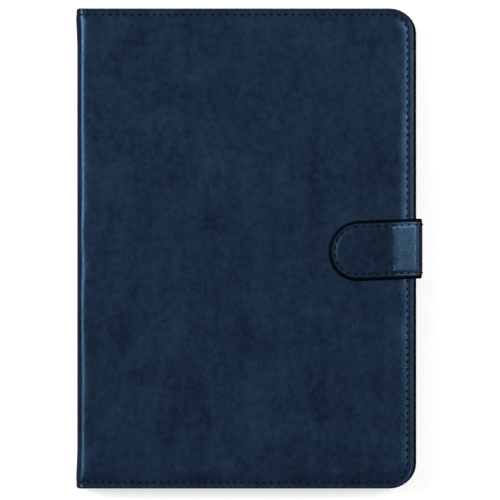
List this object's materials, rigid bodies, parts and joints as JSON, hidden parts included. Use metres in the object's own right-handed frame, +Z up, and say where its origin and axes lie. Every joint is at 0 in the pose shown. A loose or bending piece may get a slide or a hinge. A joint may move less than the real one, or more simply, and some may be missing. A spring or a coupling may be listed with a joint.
{
  "type": "tablet keyboard case",
  "caption": "Folio case for a tablet: padded leather covers, a tilting tray, a removable keyboard and a magnetic strap.",
  "frame": {"origin": "centre of the bounding box's base: under the middle of the closed case, at the back cover's outer face", "axes": "+Z up out of the front cover, +X from the spine to the fore-edge that the strap closes, +Y to the end where the Escape key is"},
  "size_m": [0.1844, 0.256, 0.0268],
  "materials": {
    "navy_leather": "semi-matt pebbled grain",
    "grey_lining": "matt brushed cloth",
    "grey_board": "matt",
    "white_foam": "matt foam",
    "black_tray_plastic": "satin",
    "grey_felt": "matt felt",
    "steel": "plain",
    "nickel_magnet": "plated",
    "black_keyboard_plastic": "fine texture",
    "black_key_plastic": "satin",
    "grey_silicone": "matt",
    "green_circuit_board": "lacquered",
    "silver_battery_foil": "foil",
    "clear_lens": "clear",
    "black_rubber": "matt"
  },
  "bodies": {
    "back_cover": {"back_skin": "navy_leather", "back_board": "grey_board", "back_lining": "grey_lining", "tray_hinge": "navy_leather"},
    "spine": {"spine_skin": "navy_leather", "spine_board": "grey_board", "spine_lining": "grey_lining", "back_fold": "navy_leather"},
    "front_cover": {"front_skin": "navy_leather", "front_foam": "white_foam", "front_board": "grey_board", "front_lining": "grey_lining", "cover_plate_left": "steel", "cover_plate_right": "steel", "strap_patch": "navy_leather", "strap_patch_lining": "grey_lining", "front_fold": "navy_leather"},
    "strap": {"strap_side": "navy_leather", "strap_side_lining": "grey_lining", "strap_magnet": "nickel_magnet", "strap_bend": "navy_leather"},
    "tray": {"tray_shell": "black_tray_plastic", "tray_felt": "grey_felt", "tray_keeper": "steel"},
    "keyboard": {"keyboard_top": "black_keyboard_plastic", "keyboard_bottom": "black_keyboard_plastic", "keyboard_domes": "grey_silicone", "keyboard_circuit": "green_circuit_board", "keyboard_battery": "silver_battery_foil", "keyboard_magnet_left_inner": "nickel_magnet", "keyboard_magnet_left_outer": "nickel_magnet", "keyboard_magnet_right_inner": "nickel_magnet", "keyboard_magnet_right_outer": "nickel_magnet", "keyboard_socket": "steel", "status_lens": "clear_lens", "keyboard_foot_fore_left": "black_rubber", "keyboard_foot_fore_right": "black_rubber", "keyboard_foot_spine_left": "black_rubber", "keyboard_foot_spine_right": "black_rubber"},
    "row_function_body": {"row_function": "black_key_plastic"},
    "row_number_body": {"row_number": "black_key_plastic"},
    "key_backspace_body": {"key_backspace": "black_key_plastic"},
    "key_tab_body": {"key_tab": "black_key_plastic"},
    "row_upper_body": {"row_upper": "black_key_plastic"},
    "key_caps_body": {"key_caps": "black_key_plastic"},
    "row_home_body": {"row_home": "black_key_plastic"},
    "key_enter_body": {"key_enter": "black_key_plastic"},
    "key_shift_left_body": {"key_shift_left": "black_key_plastic"},
    "row_lower_body": {"row_lower": "black_key_plastic"},
    "key_shift_right_body": {"key_shift_right": "black_key_plastic"},
    "row_control_left_body": {"row_control_left": "black_key_plastic"},
    "key_space_body": {"key_space": "black_key_plastic"},
    "row_control_right_body": {"row_control_right": "black_key_plastic"},
    "power_switch_body": {"power_switch": "black_rubber"},
    "connect_button_body": {"connect_button": "black_key_plastic"}
  },
  "joints": [
    {"name": "spine_fold", "type": "hinge", "parent": "back_cover", "child": "spine", "pos_m": [-0.08925, 0, 0.003], "axis": [0, -1, 0], "range_deg": [0, 90], "deforming": ["back_fold"]},
    {"name": "cover_fold", "type": "hinge", "parent": "spine", "child": "front_cover", "pos_m": [-0.08925, 0, 0.0212], "axis": [0, -1, 0], "range_deg": [0, 90], "deforming": ["front_fold"]},
    {"name": "tray_tilt", "type": "hinge", "parent": "back_cover", "child": "tray", "pos_m": [0.0865, 0, 0.0034], "axis": [0, 1, 0], "range_deg": [0, 18]},
    {"name": "strap_fold", "type": "hinge", "parent": "front_cover", "child": "strap", "pos_m": [0.08825, 0, 0.0228], "axis": [0, -1, 0], "range_deg": [0, 110], "deforming": ["strap_bend"]},
    {"name": "keyboard_slide", "type": "slide", "parent": "front_cover", "child": "keyboard", "axis": [0, -1, 0], "range_m": [0, 0.26]},
    {"name": "row_function_press", "type": "slide", "parent": "keyboard", "child": "row_function_body", "axis": [0, 0, 1], "range_m": [0, 0.0012], "stiffness_N_per_m": 300, "springref_m": -0.0005},
    {"name": "row_number_press", "type": "slide", "parent": "keyboard", "child": "row_number_body", "axis": [0, 0, 1], "range_m": [0, 0.0012], "stiffness_N_per_m": 300, "springref_m": -0.0005},
    {"name": "key_backspace_press", "type": "slide", "parent": "keyboard", "child": "key_backspace_body", "axis": [0, 0, 1], "range_m": [0, 0.0012], "stiffness_N_per_m": 300, "springref_m": -0.0005},
    {"name": "key_tab_press", "type": "slide", "parent": "keyboard", "child": "key_tab_body", "axis": [0, 0, 1], "range_m": [0, 0.0012], "stiffness_N_per_m": 300, "springref_m": -0.0005},
    {"name": "row_upper_press", "type": "slide", "parent": "keyboard", "child": "row_upper_body", "axis": [0, 0, 1], "range_m": [0, 0.0012], "stiffness_N_per_m": 300, "springref_m": -0.0005},
    {"name": "key_caps_press", "type": "slide", "parent": "keyboard", "child": "key_caps_body", "axis": [0, 0, 1], "range_m": [0, 0.0012], "stiffness_N_per_m": 300, "springref_m": -0.0005},
    {"name": "row_home_press", "type": "slide", "parent": "keyboard", "child": "row_home_body", "axis": [0, 0, 1], "range_m": [0, 0.0012], "stiffness_N_per_m": 300, "springref_m": -0.0005},
    {"name": "key_enter_press", "type": "slide", "parent": "keyboard", "child": "key_enter_body", "axis": [0, 0, 1], "range_m": [0, 0.0012], "stiffness_N_per_m": 300, "springref_m": -0.0005},
    {"name": "key_shift_left_press", "type": "slide", "parent": "keyboard", "child": "key_shift_left_body", "axis": [0, 0, 1], "range_m": [0, 0.0012], "stiffness_N_per_m": 300, "springref_m": -0.0005},
    {"name": "row_lower_press", "type": "slide", "parent": "keyboard", "child": "row_lower_body", "axis": [0, 0, 1], "range_m": [0, 0.0012], "stiffness_N_per_m": 300, "springref_m": -0.0005},
    {"name": "key_shift_right_press", "type": "slide", "parent": "keyboard", "child": "key_shift_right_body", "axis": [0, 0, 1], "range_m": [0, 0.0012], "stiffness_N_per_m": 300, "springref_m": -0.0005},
    {"name": "row_control_left_press", "type": "slide", "parent": "keyboard", "child": "row_control_left_body", "axis": [0, 0, 1], "range_m": [0, 0.0012], "stiffness_N_per_m": 300, "springref_m": -0.0005},
    {"name": "key_space_press", "type": "slide", "parent": "keyboard", "child": "key_space_body", "axis": [0, 0, 1], "range_m": [0, 0.0012], "stiffness_N_per_m": 300, "springref_m": -0.0005},
    {"name": "row_control_right_press", "type": "slide", "parent": "keyboard", "child": "row_control_right_body", "axis": [0, 0, 1], "range_m": [0, 0.0012], "stiffness_N_per_m": 300, "springref_m": -0.0005},
    {"name": "power_switch_slide", "type": "slide", "parent": "keyboard", "child": "power_switch_body", "axis": [0, -1, 0], "range_m": [0, 0.003]},
    {"name": "connect_button_press", "type": "slide", "parent": "keyboard", "child": "connect_button_body", "axis": [0, 0, 1], "range_m": [0, 0.0008], "stiffness_N_per_m": 400, "springref_m": -0.0005}
  ],
  "couplings": [
    {"joint": "cover_fold", "follows": "spine_fold", "ratio": 1},
    {"joint": "tray_tilt", "follows": "spine_fold", "ratio": 0.2}
  ]
}
